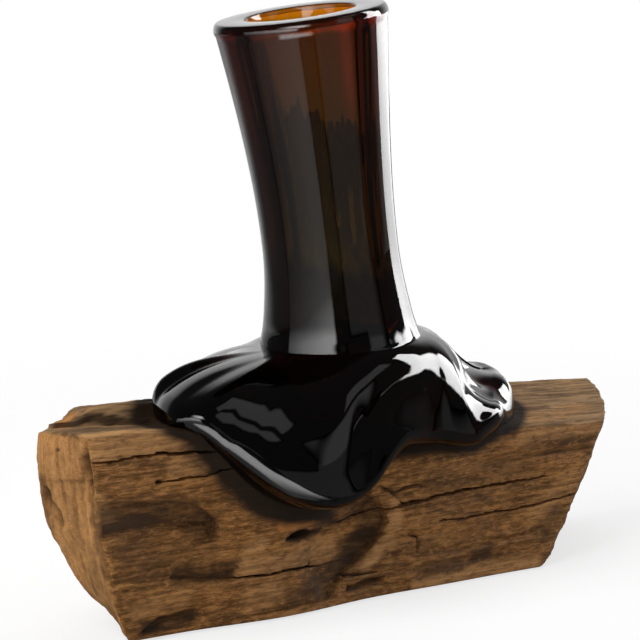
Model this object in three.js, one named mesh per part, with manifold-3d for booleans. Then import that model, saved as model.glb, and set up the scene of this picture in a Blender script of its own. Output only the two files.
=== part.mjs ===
// A blown glass vase that slumped hot over a block of weathered hardwood.
// The block lies along X with its front face towards -Y. The glass stands on it by its own
// weight: its thick foot copies the block's top and laps over the front and back edges.
// Units are millimetres, +Z is up, and the origin is the middle of the object's base.

import * as THREE from 'three';
import { mergeVertices } from 'three/addons/utils/BufferGeometryUtils.js';
import Module from 'manifold-3d';

const wasm = await Module();
wasm.setup();

// Wooden block. Lengths along X are measured from the front left corner of its underside.
const BLOCK_DEPTH = 64;           // front face to back face
const BASE_LENGTH = 206;          // front edge of the underside
const BACK_INSET = 38;            // the underside's back left corner starts this far along
const TOP_OVERHANG_LEFT = 17.7;   // top front corner beyond the underside's corner
const TOP_OVERHANG_RIGHT = 43;
const LEFT_CORNER_CURVE = 0.62;   // how the overhangs grow up the ends: 1 is a straight edge
const NOSE_CURVE = 2.6;
const RIGHT_CORNER_CURVE = 0.72;
const TOP_BACK_INSET = 17;        // back left corner at the top
const NOSE_OVERHANG = 26;         // blunt point of the left end, at the top
const NOSE_INSET = 12;            // the same point at the underside
const NOSE_SETBACK = 27;          // distance of that point behind the front face
const RIGHT_SKEW = 44;            // the right end runs back at a slant, by this much
const RIGHT_BOW = 5;              // and bows out in the middle of the slant
const HEIGHT_FRONT_LEFT = 86.4;
const HEIGHT_FRONT_RIGHT = 61.7;
const HEIGHT_BACK_LEFT = 85;
const HEIGHT_BACK_RIGHT = 68;
const FRONT_TOP_ROUNDING = 0.6;   // 0 is a straight top edge, 1 a soft step from end to end
const BACK_TOP_CURVE = 1.6;
const WORN_EDGE = 3.5;            // radius of the worn edges all round
const RIDGE_RISE = 5;             // a ridge on the left half of the top, above the wood round it
const RIDGE_FOOT = 30;            // its steep front starts this far behind the front face
const RIDGE_CREST = 36;
const RIDGE_STARTS = [-9, 5];     // the ridge rises and fades between these places along X
const RIDGE_FADES = [45, 130];
const BELLY = 6.8;                // the foot of the front face swells forward
const BELLY_AT = 72;
const BELLY_SPREAD = 46;
const BELLY_TOP = 0.42;           // share of the height that swells
const FLARE = 6;                  // and it flares forward towards the right end
const FACE_WAVE = 0.9;            // long hollows along the front and back faces
const FACE_WAVE_LENGTH = 74;
const CELLS_LONG = 46;            // facets of the block
const CELLS_DEEP = 8;
const CELLS_HIGH = 10;
const CHECK_STATIONS = 9;         // facets along a drying check
const CHECK_PROUD = 3;            // its wedge starts this far in front of the face
const CHECK_MOUTH = 0.8;          // half the wedge's width there, as a share of the opening

// Hollows rotted into the front face: centre along X and in height, half sizes, depth.
const HOLLOWS = [
  { x: 26, z: 43, halfLong: 33, halfHigh: 8, depth: 3.0 },
  { x: 108, z: 26, halfLong: 22, halfHigh: 15, depth: 2.2 },
  { x: 28, z: 9, halfLong: 24, halfHigh: 6, depth: 2.4 },
];

// Drying checks in the front face: their run as [along X, height] pairs, opening and depth.
const CHECKS = [
  {
    run: [[88, 34], [106, 37], [125, 38.9], [149, 40.4], [178, 41.6], [212, 40.6]],
    opening: 1.7,
    depth: 7,
  },
  { run: [[157, 29.5], [194, 28.8], [231, 30.3], [252, 32]], opening: 1.5, depth: 7 },
  { run: [[-15, 75.6], [6, 75.8], [32, 74.5], [48, 74]], opening: 1.3, depth: 6 },
  { run: [[15, 63], [30, 63.6], [44, 65.5], [60, 67]], opening: 1.1, depth: 5 },
  { run: [[47, 20], [72, 18.6], [96, 17.9], [104, 18.6]], opening: 1.4, depth: 6 },
  { run: [[94, 53.6], [101, 53.8], [112, 52.8], [123, 53.4]], opening: 0.9, depth: 4 },
  { run: [[104, 7.2], [111, 8.1], [120, 7.9]], opening: 2.4, depth: 5 },
];

// Glass vase.
const SEAT_CLEARANCE = 0.4;       // between the glass and the wood under it
const NECK_AT = 123.3;            // middle of the neck's root along X
const NECK_ROOT_RADIUS = 34.7;
const NECK_WAIST_RADIUS = 29.3;
const RIM_RADIUS = 37;
const FOOT_THICKNESS = 31;        // glass between the block and the neck's root
const NECK_LENGTH = 139.5;        // root to rim along the height
const RIM_SHIFT = 20.7;           // the rim lies this far towards -X from the root
const BEND_SHIFT = 8.5;           // shift of the point where the neck's two tangents meet
const RIM_TILT = THREE.MathUtils.degToRad(9);
const ROOT_TILT = THREE.MathUtils.degToRad(3.5);
const RIM_ARRIS_WIDTH = 2;        // the rim's fire-polished outer edge
const RIM_ARRIS_HEIGHT = 4;
const BORE_RIM_RADIUS = 23.4;
const BORE_WAIST_RADIUS = 17;
const BORE_ROOT_RADIUS = 19.5;
const BORE_FLOOR = 15;            // glass left under the bore
const BORE_FLOOR_ROUND = 13;      // height of the bore's rounded floor
const BORE_ARRIS = 1;
const GLASS_FOLD = 9;             // the glass starts to turn this far before the block's edge
const UNDERCUT = 4;               // how far the raw foot sinks before the wood is cut away
const UNDERCUT_DRAW = 1;          // and how far it draws in while it sinks
const COLUMNS = 72;               // facets round the glass
const BORE_FLOOR_RINGS = [0.3, 0.6, 0.85];
const BORE_RINGS = [0, 0.14, 0.28, 0.42, 0.58, 0.74, 0.88];
const RIM_RINGS = [0, 0.33, 0.66, 1];
const NECK_RINGS = [0.9, 0.8, 0.7, 0.6, 0.5, 0.4, 0.3, 0.2, 0.12, 0.05, 0];
const SHOULDER_ROWS = 8;
const LIP_ROWS = 4;
const EDGE_STEP = 4;              // degrees on either side that give the edge's direction
const ROLL_PER_HEIGHT = 0.9;      // the lip's rolled edge reaches in this far for its height
const ROLL_LIMIT = 9.5;
const SHOULDER_LEAVE = 0.36;      // pull of the shoulder's two ends, as shares of its span
const SHOULDER_ARRIVE = 0.3;
const PROFILE_HALVINGS = 24;      // steps in the search along a radius curve

// Edge of the glass pool, as reach from the neck's axis against direction in degrees.
// Directions are counted from +X towards +Y, and the reach is measured along the wood,
// over the block's top and on down its front or back face.
const POOL_REACH = [
  [-180, 93], [-172, 98], [-165, 101], [-158.5, 94.5], [-151, 89.5], [-141.5, 86], [-132, 82],
  [-124, 77], [-116, 70], [-108, 61], [-98, 47.5], [-88, 41], [-73, 39.5], [-54, 46],
  [-41, 58], [-33, 64], [-21, 76], [-9, 87], [3, 93], [13, 88], [28, 70], [45, 57],
  [65, 52], [86, 56], [104, 62], [122, 57], [140, 59], [155, 70], [168, 84],
];

// Height of the rolled lip at the pool's edge, above the wood.
const LIP_HEIGHT = [
  [-180, 12], [-170, 12], [-164, 9], [-158.5, 7], [-151, 12], [-141.5, 18.5], [-132, 22.5],
  [-122, 24], [-112, 22.5], [-100, 19.5], [-88, 16], [-76, 13], [-62, 11], [-45, 11.5],
  [-28, 13.5], [-12, 16], [5, 17], [20, 12], [60, 9], [105, 11], [150, 10],
];

// Slope of the surface where it leaves the neck's root, in degrees above level.
const SHOULDER_SLOPE = [
  [-180, -2], [-155, -8], [-135, -20], [-110, -24], [-75, -30], [-40, -8], [-5, 8], [30, 0],
  [80, -20], [130, -6], [160, 2],
];

// Where the lip's crown lies, in degrees round its roll: above 0 the lip stands up as a bead
// round a hollow, and below 0 the shoulder runs down into it as a dome.
const BEAD = [
  [-180, -30], [-164, -20], [-155, -6], [-141, -4], [-125, -2], [-110, 4], [-92, 6],
  [-70, 2], [-40, 2], [-15, 4], [10, 4], [40, 2], [90, 14], [140, -14],
];

// Dents and rolls in the foot: a line from one point to the other, each as direction in
// degrees and share of the way from root to lip, with its half width and its depth.
const DENTS = [
  { from: [-25, 0.45], to: [-22, 0.85], halfWidth: 8, depth: 4.5 },
  { from: [-10, 0.6], to: [-12, 0.85], halfWidth: 8, depth: -2 },
  { from: [70, 0.3], to: [75, 0.8], halfWidth: 10, depth: 3 },
];

const { lerp, clamp, smoothstep, degToRad, euclideanModulo } = THREE.MathUtils;

// Radius outside and in the bore, at shares of the neck's length from its root to its rim.
const NECK_RADII = [
  [0, NECK_ROOT_RADIUS], [0.08, lerp(NECK_ROOT_RADIUS, NECK_WAIST_RADIUS, 0.5)],
  [0.24, NECK_WAIST_RADIUS], [0.42, NECK_WAIST_RADIUS],
  [0.6, lerp(NECK_WAIST_RADIUS, RIM_RADIUS, 0.2)],
  [0.78, lerp(NECK_WAIST_RADIUS, RIM_RADIUS, 0.52)], [1, RIM_RADIUS],
];
const BORE_RADII = [
  [0, BORE_ROOT_RADIUS], [0.42, BORE_WAIST_RADIUS],
  [0.75, lerp(BORE_WAIST_RADIUS, BORE_RIM_RADIUS, 0.5)], [1, BORE_RIM_RADIUS],
];

// Smooth value at an angle in degrees, through stations that go once round.
function around(stations, degrees) {
  const count = stations.length;
  const angle = euclideanModulo(degrees + 180, 360) - 180;
  const station = (i) => {
    const turns = Math.floor(i / count);
    const [at, value] = stations[i - turns * count];
    return [at + 360 * turns, value];
  };
  let first = 0;
  while (first + 1 < count && stations[first + 1][0] <= angle) first += 1;
  const [before, a, b, after] = [first - 1, first, first + 1, first + 2].map(station);
  const span = b[0] - a[0];
  const slopeA = (b[1] - before[1]) / (b[0] - before[0]) * span;
  const slopeB = (after[1] - a[1]) / (after[0] - a[0]) * span;
  const t = (angle - a[0]) / span;
  const t2 = t * t;
  const t3 = t2 * t;
  return (2 * t3 - 3 * t2 + 1) * a[1] + (t3 - 2 * t2 + t) * slopeA
    + (3 * t2 - 2 * t3) * b[1] + (t3 - t2) * slopeB;
}

// Closed body from rings of points of equal count, with a single point at each end.
function bodyFromRings(rings, firstPole, lastPole) {
  const points = [firstPole, ...rings.flat(), lastPole];
  const count = rings[0].length;
  const index = [];
  for (let i = 0; i < count; i += 1) {
    const next = (i + 1) % count;
    index.push(0, 1 + i, 1 + next);
    for (let ring = 0; ring + 1 < rings.length; ring += 1) {
      const low = 1 + ring * count;
      const high = low + count;
      index.push(low + i, high + i, high + next, low + i, high + next, low + next);
    }
    const last = 1 + (rings.length - 1) * count;
    index.push(points.length - 1, last + next, last + i);
  }
  const geometry = new THREE.BufferGeometry().setFromPoints(points);
  geometry.setIndex(index);
  return geometry;
}

function toSolid(geometry) {
  return new wasm.Manifold(new wasm.Mesh({
    numProp: 3,
    vertProperties: new Float32Array(geometry.attributes.position.array),
    triVerts: new Uint32Array(geometry.index.array),
  }));
}

function toGeometry(solid) {
  const mesh = solid.getMesh();
  const geometry = new THREE.BufferGeometry();
  geometry.setAttribute('position', new THREE.BufferAttribute(mesh.vertProperties, 3));
  geometry.setIndex(new THREE.BufferAttribute(mesh.triVerts, 1));
  geometry.computeVertexNormals();
  return geometry;
}

// Height of the block's top at a point of its plan.
const FRONT_TOP_LEFT = -TOP_OVERHANG_LEFT;
const FRONT_TOP_RIGHT = BASE_LENGTH + TOP_OVERHANG_RIGHT;

function taper(along) {
  const t = clamp(along, 0, 1);
  return lerp(t, smoothstep(t, 0, 1), FRONT_TOP_ROUNDING);
}

function topHeight(x, y) {
  const backEnd = FRONT_TOP_RIGHT + RIGHT_SKEW;
  const front = lerp(HEIGHT_FRONT_LEFT, HEIGHT_FRONT_RIGHT,
    taper((x - FRONT_TOP_LEFT) / (FRONT_TOP_RIGHT - FRONT_TOP_LEFT)));
  const back = lerp(HEIGHT_BACK_LEFT, HEIGHT_BACK_RIGHT,
    clamp((x - FRONT_TOP_LEFT) / (backEnd - FRONT_TOP_LEFT), 0, 1) ** BACK_TOP_CURVE);
  const fall = clamp((BLOCK_DEPTH - y) / (BLOCK_DEPTH - RIDGE_CREST), 0, 1);
  const ridge = RIDGE_RISE * smoothstep(y, RIDGE_FOOT, RIDGE_CREST) * fall
    * smoothstep(x, ...RIDGE_STARTS) * (1 - smoothstep(x, ...RIDGE_FADES));
  return lerp(front, back, clamp(y / BLOCK_DEPTH, 0, 1)) + ridge;
}

// Ends of the block in plan: position along X at a share of the depth and of the height.
function leftEnd(deep, high) {
  const corner = -TOP_OVERHANG_LEFT * high ** LEFT_CORNER_CURVE;
  const nose = NOSE_INSET - (NOSE_INSET + NOSE_OVERHANG) * (1 - (1 - high) ** NOSE_CURVE);
  const back = lerp(BACK_INSET, TOP_BACK_INSET, high);
  const noseDeep = NOSE_SETBACK / BLOCK_DEPTH;
  if (deep < noseDeep) return lerp(corner, nose, deep / noseDeep);
  return lerp(nose, back, (deep - noseDeep) / (1 - noseDeep));
}

function rightEnd(deep, high) {
  return BASE_LENGTH + TOP_OVERHANG_RIGHT * high ** RIGHT_CORNER_CURVE
    + RIGHT_SKEW * deep + 4 * RIGHT_BOW * deep * (1 - deep);
}

// How far the front face lies behind the plane that the glass laps over.
function frontFace(x, z, high) {
  const low = clamp(1 - high / BELLY_TOP, 0, 1) ** 2;
  const belly = BELLY * Math.exp(-(((x - BELLY_AT) / BELLY_SPREAD) ** 2));
  const flare = FLARE * smoothstep(x, BELLY_AT, BASE_LENGTH);
  const wave = FACE_WAVE * (1 - Math.cos(2 * Math.PI * x / FACE_WAVE_LENGTH)) / 2;
  let set = wave - low * (flare + belly);
  for (const hollow of HOLLOWS) {
    const across = ((x - hollow.x) / hollow.halfLong) ** 2 + ((z - hollow.z) / hollow.halfHigh) ** 2;
    set += hollow.depth * Math.exp(-across * across);
  }
  return set;
}

// The block as a warped box. With grow it is the same shape grown all over, with upright
// walls that run below the base, which is what has to stay free for the glass to lift off.
function blockGeometry(grow = 0) {
  const size = new THREE.Vector3(1, BLOCK_DEPTH, (HEIGHT_FRONT_LEFT + HEIGHT_FRONT_RIGHT) / 2);
  size.x = FRONT_TOP_RIGHT + RIGHT_SKEW + NOSE_OVERHANG;
  const cells = new THREE.BoxGeometry(1, 1, 1, CELLS_LONG, CELLS_DEEP, CELLS_HIGH);
  cells.translate(0.5, 0.5, 0.5);
  cells.deleteAttribute('normal');
  cells.deleteAttribute('uv');
  const box = mergeVertices(cells);
  const position = box.attributes.position;
  const spread = (share, count, length) => {
    const step = Math.round(share * count);
    if (step === 0 || step === count) return share;
    return lerp(WORN_EDGE, length - WORN_EDGE, (step - 1) / (count - 2)) / length;
  };
  const point = new THREE.Vector3();
  const core = new THREE.Vector3();
  for (let i = 0; i < position.count; i += 1) {
    point.fromBufferAttribute(position, i);
    point.x = spread(point.x, CELLS_LONG, size.x) * size.x;
    point.y = spread(point.y, CELLS_DEEP, size.y) * size.y;
    point.z = spread(point.z, CELLS_HIGH, size.z) * size.z;
    core.copy(point);
    core.x = clamp(core.x, WORN_EDGE, size.x - WORN_EDGE);
    core.y = clamp(core.y, WORN_EDGE, size.y - WORN_EDGE);
    core.z = clamp(core.z, WORN_EDGE, size.z - WORN_EDGE);
    point.sub(core).setLength(WORN_EDGE).add(core).divide(size);
    const { x: along, y: deep, z: high } = point;
    const x = lerp(leftEnd(deep, high), rightEnd(deep, high), along);
    const top = topHeight(x, deep * BLOCK_DEPTH);
    if (grow > 0) {
      const y = lerp(-grow, BLOCK_DEPTH + grow, deep);
      const lift = lerp(-BLOCK_DEPTH, grow, smoothstep(high, 0, 0.5));
      position.setXYZ(i, x + grow * (2 * along - 1), y, top * high + lift);
    } else {
      const z = top * high;
      const set = frontFace(x, z, high);
      const backWave = FACE_WAVE * (1 + Math.sin(2 * Math.PI * x / FACE_WAVE_LENGTH));
      position.setXYZ(i, x, lerp(set, BLOCK_DEPTH - backWave, deep), z);
    }
  }
  return box;
}

// A drying check as a thin wedge that is widest in the middle of its run.
function checkGeometry({ run, opening, depth }) {
  const curve = new THREE.CatmullRomCurve3(run.map(([x, z]) => new THREE.Vector3(x, 0, z)));
  const rings = [];
  for (let i = 1; i < CHECK_STATIONS; i += 1) {
    const share = i / CHECK_STATIONS;
    const { x, z } = curve.getPoint(share);
    const set = frontFace(x, z, z / topHeight(x, 0));
    const swell = Math.sqrt(Math.sin(Math.PI * share));
    const half = opening * CHECK_MOUTH * swell;
    rings.push([
      new THREE.Vector3(x, set - CHECK_PROUD, z - half),
      new THREE.Vector3(x, set - CHECK_PROUD, z + half),
      new THREE.Vector3(x, set + depth * swell, z),
    ]);
  }
  const pole = (share) => {
    const { x, z } = curve.getPoint(share);
    return new THREE.Vector3(x, frontFace(x, z, z / topHeight(x, 0)) - CHECK_PROUD / 2, z);
  };
  return bodyFromRings(rings, pole(0), pole(1));
}

function woodenBlock() {
  let block = toSolid(blockGeometry());
  for (const check of CHECKS) block = block.subtract(toSolid(checkGeometry(check)));
  return toGeometry(block);
}

// Point of the wood under the glass for a place x along the block and v across it, where v
// runs on over the worn edges and down the faces. Also the direction out of the wood and
// the one away from the block's middle, which turn over the edge as softly as the glass.
function onWood(x, v) {
  const back = v > BLOCK_DEPTH / 2;
  const side = back ? 1 : -1;
  const inward = back ? BLOCK_DEPTH - v : v;
  const edgeArc = WORN_EDGE * Math.PI / 2;
  const past = WORN_EDGE - inward;
  const turn = clamp(past / edgeArc, 0, 1) * Math.PI / 2;
  const fold = clamp((GLASS_FOLD - inward) / (GLASS_FOLD + edgeArc), 0, 1) * Math.PI / 2;
  const fromFace = past <= 0 ? inward : WORN_EDGE * (1 - Math.sin(turn));
  const drop = WORN_EDGE * (1 - Math.cos(turn)) + Math.max(past - edgeArc, 0);
  const y = back ? BLOCK_DEPTH - fromFace : fromFace;
  return {
    point: new THREE.Vector3(x, y, topHeight(x, y) - drop),
    normal: new THREE.Vector3(0, side * Math.sin(fold), Math.cos(fold)),
    away: new THREE.Vector3(0, side * Math.cos(fold), -Math.sin(fold)),
  };
}

const neckRootHeight = topHeight(NECK_AT, BLOCK_DEPTH / 2) + FOOT_THICKNESS;

const neckAxis = new THREE.QuadraticBezierCurve3(
  new THREE.Vector3(NECK_AT, BLOCK_DEPTH / 2, neckRootHeight),
  new THREE.Vector3(NECK_AT - BEND_SHIFT, BLOCK_DEPTH / 2, neckRootHeight + NECK_LENGTH / 2),
  new THREE.Vector3(NECK_AT - RIM_SHIFT, BLOCK_DEPTH / 2, neckRootHeight + NECK_LENGTH),
);

// Ring round the neck's axis at a share of its length, lowered by drop along the axis.
function neckPoint(share, radius, angle, drop = 0) {
  const centre = neckAxis.getPoint(clamp(share, 0, 1));
  const tilt = lerp(ROOT_TILT, RIM_TILT, clamp(share, 0, 1));
  const out = new THREE.Vector3(Math.cos(angle) * Math.cos(tilt), Math.sin(angle),
    Math.cos(angle) * Math.sin(tilt));
  const down = new THREE.Vector3(Math.sin(tilt), 0, -Math.cos(tilt));
  return centre.addScaledVector(out, radius).addScaledVector(down, drop);
}

// Radius at a share of the neck's length, on a smooth curve through the given pairs.
const profile = (radii) => {
  const curve = new THREE.SplineCurve(radii.map(([share, r]) => new THREE.Vector2(share, r)));
  return (share) => {
    let lo = 0;
    let hi = 1;
    for (let i = 0; i < PROFILE_HALVINGS; i += 1) {
      const mid = (lo + hi) / 2;
      if (curve.getPoint(mid).x < share) lo = mid;
      else hi = mid;
    }
    return curve.getPoint(hi).y;
  };
};

const neckRadius = profile(NECK_RADII);
const boreRadius = profile(BORE_RADII);

// The pool's edge on the wood, with the directions out of the wood and out of the pool.
function poolEdge(degrees) {
  const flat = (at) => {
    const reach = around(POOL_REACH, at);
    const angle = degToRad(at);
    return new THREE.Vector2(reach * Math.cos(angle), reach * Math.sin(angle));
  };
  const here = flat(degrees);
  const along = flat(degrees + EDGE_STEP).sub(flat(degrees - EDGE_STEP)).normalize();
  const square = new THREE.Vector2(along.y, -along.x);
  const out = here.clone().normalize().add(square).normalize();
  const { point, normal, away } = onWood(NECK_AT + here.x, BLOCK_DEPTH / 2 + here.y);
  const outward = new THREE.Vector3(out.x, 0, 0);
  outward.addScaledVector(away, here.y > 0 ? out.y : -out.y);
  return { point, normal, outward };
}

// Line down the foot's surface in one direction: over the shoulder to the lip's crown,
// and round the lip to the wood.
function footLine(degrees) {
  const angle = degToRad(degrees);
  const { point: edge, normal, outward } = poolEdge(degrees);
  const lip = around(LIP_HEIGHT, degrees);
  const roll = Math.min(lip * ROLL_PER_HEIGHT, ROLL_LIMIT);
  const bead = degToRad(around(BEAD, degrees));
  const onLip = (turn) => edge.clone().addScaledVector(outward, roll * (Math.sin(turn) - 1))
    .addScaledVector(normal, lip * Math.cos(turn));
  const crown = onLip(-bead);
  const rising = outward.clone().multiplyScalar(roll * Math.cos(bead))
    .addScaledVector(normal, lip * Math.sin(bead)).normalize();
  const root = neckPoint(0, NECK_ROOT_RADIUS, angle);
  const slope = degToRad(around(SHOULDER_SLOPE, degrees));
  const leave = new THREE.Vector3(Math.cos(angle) * Math.cos(slope),
    Math.sin(angle) * Math.cos(slope), Math.sin(slope));
  const span = root.distanceTo(crown);
  const shoulder = new THREE.CubicBezierCurve3(root,
    root.clone().addScaledVector(leave, span * SHOULDER_LEAVE),
    crown.clone().addScaledVector(rising, -span * SHOULDER_ARRIVE), crown);
  const line = [];
  for (let row = 1; row <= SHOULDER_ROWS; row += 1) {
    line.push(shoulder.getPoint(row / SHOULDER_ROWS));
  }
  for (let row = 1; row <= LIP_ROWS; row += 1) {
    line.push(onLip(lerp(-bead, Math.PI / 2, row / LIP_ROWS)));
  }
  line.push(edge.clone().addScaledVector(normal, -UNDERCUT)
    .addScaledVector(outward, -UNDERCUT_DRAW));
  return line;
}

function dentFoot(lines) {
  const rows = SHOULDER_ROWS + LIP_ROWS;
  const at = (direction, share) => {
    const column = Math.round((direction + 180) / 360 * COLUMNS) % COLUMNS;
    return lines[column][Math.round(share * (rows - 1))].clone();
  };
  const dents = DENTS.map((dent) => ({
    ...dent, line: new THREE.Line3(at(...dent.from), at(...dent.to)),
  }));
  const moved = lines.map((line) => line.map((point) => point.clone()));
  const nearest = new THREE.Vector3();
  lines.forEach((line, column) => {
    for (let row = 0; row < rows; row += 1) {
      const left = lines[(column + 1) % COLUMNS][row];
      const right = lines[(column + COLUMNS - 1) % COLUMNS][row];
      const out = row > 0 ? line[row - 1] : line[row];
      const normal = left.clone().sub(right).cross(line[row + 1].clone().sub(out)).normalize();
      for (const { line: axis, halfWidth, depth } of dents) {
        axis.closestPointToPoint(line[row], true, nearest);
        const away = nearest.distanceTo(line[row]) / halfWidth;
        const fade = clamp((rows - row) / LIP_ROWS, 0, 1);
        moved[column][row].addScaledVector(normal, depth * fade * Math.exp(-away * away));
      }
    }
  });
  return moved;
}

function glassVase() {
  const columns = Array.from({ length: COLUMNS }, (_, i) => -180 + 360 * i / COLUMNS);
  const ring = (place) => columns.map((degrees) => place(degToRad(degrees)));
  const floorHeight = FOOT_THICKNESS - BORE_FLOOR;
  const rings = [];
  for (const turn of BORE_FLOOR_RINGS) {
    const quarter = turn * Math.PI / 2;
    rings.push(ring((angle) => neckPoint(0, BORE_ROOT_RADIUS * Math.sin(quarter), angle,
      floorHeight - BORE_FLOOR_ROUND * (1 - Math.cos(quarter)))));
  }
  for (const share of BORE_RINGS) {
    rings.push(ring((angle) => neckPoint(share, boreRadius(share), angle)));
  }
  rings.push(ring((angle) => neckPoint(1, BORE_RIM_RADIUS, angle, BORE_ARRIS)));
  rings.push(ring((angle) => neckPoint(1, BORE_RIM_RADIUS + BORE_ARRIS, angle)));
  for (const turn of RIM_RINGS) {
    const quarter = turn * Math.PI / 2;
    rings.push(ring((angle) => neckPoint(1,
      RIM_RADIUS - RIM_ARRIS_WIDTH * (1 - Math.sin(quarter)), angle,
      RIM_ARRIS_HEIGHT * (1 - Math.cos(quarter)))));
  }
  for (const share of NECK_RINGS) {
    rings.push(ring((angle) => neckPoint(share, neckRadius(share), angle)));
  }
  const foot = dentFoot(columns.map(footLine));
  for (let row = 0; row < foot[0].length; row += 1) {
    rings.push(foot.map((line) => line[row]));
  }
  const boreFloor = neckPoint(0, 0, 0, floorHeight);
  const underside = new THREE.Vector3(NECK_AT, BLOCK_DEPTH / 2,
    neckRootHeight - FOOT_THICKNESS - 2 * UNDERCUT);
  const raw = toSolid(bodyFromRings(rings, boreFloor, underside));
  const seat = toSolid(blockGeometry(SEAT_CLEARANCE));
  return toGeometry(raw.subtract(seat));
}

const wood = new THREE.MeshStandardMaterial({ color: 0x6b4a2e, roughness: 0.85, metalness: 0 });
const glass = new THREE.MeshStandardMaterial({ color: 0x1d0e07, roughness: 0.04, metalness: 0 });

function named(name, geometry, material) {
  const mesh = new THREE.Mesh(geometry, material);
  mesh.name = name;
  return mesh;
}

const group = new THREE.Group();
group.add(named('wooden_base', woodenBlock(), wood));
group.add(named('glass_vase', glassVase(), glass));

const bounds = new THREE.Box3().setFromObject(group);
const middle = bounds.getCenter(new THREE.Vector3());
group.position.set(-middle.x, -middle.y, -bounds.min.z);

export default group;
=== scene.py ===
# %% [markdown]
# # A glass vase slumped over a block of old wood
# The real object is two things: a heavy blown vase, and the weathered block that it was
# set on while it was still soft enough to sag over the edges. Both are built here as
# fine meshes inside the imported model, which gives the sizes and how the pieces move.
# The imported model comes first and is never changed.

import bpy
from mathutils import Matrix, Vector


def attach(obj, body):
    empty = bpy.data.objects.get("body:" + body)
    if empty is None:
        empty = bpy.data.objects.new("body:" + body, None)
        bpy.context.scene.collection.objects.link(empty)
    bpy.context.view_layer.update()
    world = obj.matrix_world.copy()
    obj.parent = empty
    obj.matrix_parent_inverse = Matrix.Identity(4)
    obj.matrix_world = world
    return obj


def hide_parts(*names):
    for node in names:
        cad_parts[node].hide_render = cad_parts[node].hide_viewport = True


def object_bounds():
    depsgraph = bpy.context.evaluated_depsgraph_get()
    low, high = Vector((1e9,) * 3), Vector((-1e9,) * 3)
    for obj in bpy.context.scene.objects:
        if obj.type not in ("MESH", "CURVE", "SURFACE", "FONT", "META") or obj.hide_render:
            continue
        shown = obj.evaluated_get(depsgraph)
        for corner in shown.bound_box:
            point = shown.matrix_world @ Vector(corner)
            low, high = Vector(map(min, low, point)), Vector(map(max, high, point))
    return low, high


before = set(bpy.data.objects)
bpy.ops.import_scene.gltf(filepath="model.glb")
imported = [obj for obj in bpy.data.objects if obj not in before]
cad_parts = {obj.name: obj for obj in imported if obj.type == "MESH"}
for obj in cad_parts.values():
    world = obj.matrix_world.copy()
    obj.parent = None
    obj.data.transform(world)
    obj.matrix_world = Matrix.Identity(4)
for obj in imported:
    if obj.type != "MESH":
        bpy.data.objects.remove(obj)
cad_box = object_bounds()

# %% [markdown]
# ## Tools
# Blender's own modules make the meshes and the nodes, and arrays move thousands of points
# at once, which a loop over single points would do slowly. Lengths are written in
# millimetres and become metres only when a mesh is made.

# %% Tools
import itertools
import math

import bpy
import numpy as np
from mathutils import Vector, noise

MM = 0.001
print("one unit of length below is", MM, "m")

# %% [markdown]
# ## Measures
# Every length below is in millimetres, counted from the front left corner of the block's
# underside: X runs along the block, Y to the back and Z up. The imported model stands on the
# middle of the whole object's base, so one shift takes the finished points there.

# %% Where the block's corner lies from the middle of the object
CORNER = np.array([-133.008, -25.629, 0.0])
print("corner of the block:", CORNER, "mm")

# %% [markdown]
# ## Soft steps and smooth rounds
# A few small helpers carry all the shaping: a straight blend, a soft step, a window of two
# steps, and smooth values that run through a few stations, once round the compass or along
# a line. Stations are easier to judge than a formula, and no corner shows at them.

# %% Blends
SPLINE_STEPS = 400


def blend(a, b, share):
    return a + (b - a) * share


def step(x, low, high):
    share = np.clip((x - low) / (high - low), 0, 1)
    return share * share * (3 - 2 * share)


def window(x, opens, opened, closes, closed):
    """1 from opened to closes and 0 outside, with a soft step on either side."""
    return step(x, opens, opened) * (1 - step(x, closes, closed))


def smooth_run(start, end, leave, arrive, s):
    """A smooth run from start to end with the slopes leave and arrive, for s from 0 to 1."""
    bend = 3 * (end - start) - 2 * leave - arrive
    twist = 2 * (start - end) + leave + arrive
    return start + s * (leave + s * (bend + s * twist))


def around(stations, degrees):
    """A smooth value that goes once round the compass through its stations."""
    at, value = np.array(stations, float).T
    angle = (np.asarray(degrees, float) + 180) % 360 - 180
    first = np.searchsorted(at, angle, side="right") - 1
    turns, place = np.divmod(first + np.arange(-1, 3).reshape(4, *[1] * first.ndim), len(at))
    t0, t1, t2, t3 = at[place] + 360 * turns
    v0, v1, v2, v3 = value[place]
    span = t2 - t1
    return smooth_run(v1, v2, (v2 - v0) / (t2 - t0) * span, (v3 - v1) / (t3 - t1) * span,
                      (angle - t1) / span)


def through(stations, share):
    """A smooth curve of value against share, through stations that start at 0 and end at 1."""
    at, value = np.array(stations, float).T
    places = np.linspace(0, len(at) - 1, SPLINE_STEPS)
    low = np.minimum(places.astype(int), len(at) - 2)

    def spline(values):
        p0, p1, p2, p3 = (values[np.clip(low + k, 0, len(at) - 1)] for k in (-1, 0, 1, 2))
        return smooth_run(p1, p2, (p2 - p0) / 2, (p3 - p1) / 2, places - low)

    return np.interp(share, spline(at), spline(value))


print("blend, step, window, around and through are ready")

# %% Uneven heights
SEED_SHIFT = 17.3
LUMP_FALLOFF = 0.9
LUMP_SHRINK = 2.1


def rough(points, stretch, octaves=4, seed=0):
    """Uneven heights from about -1 to 1. stretch is the size in millimetres of the largest lumps."""
    scaled = np.asarray(points) / np.asarray(stretch, float) + SEED_SHIFT * seed
    return np.array([noise.fractal(p, LUMP_FALLOFF, LUMP_SHRINK, octaves)
                     for p in scaled.tolist()])


print("uneven heights along the edge:", np.round(rough([(5, 0, 0), (20, 0, 0)], (70, 6, 4)), 2))

# %% [markdown]
# ## The block
# It is a split and weathered length of a dense hardwood, flat below, with ends that were
# never sawn square. A box of small cells is bent to that outline by a few formulas, which
# is quicker to steer than sculpting and keeps the grain's direction in the mesh.

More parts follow.
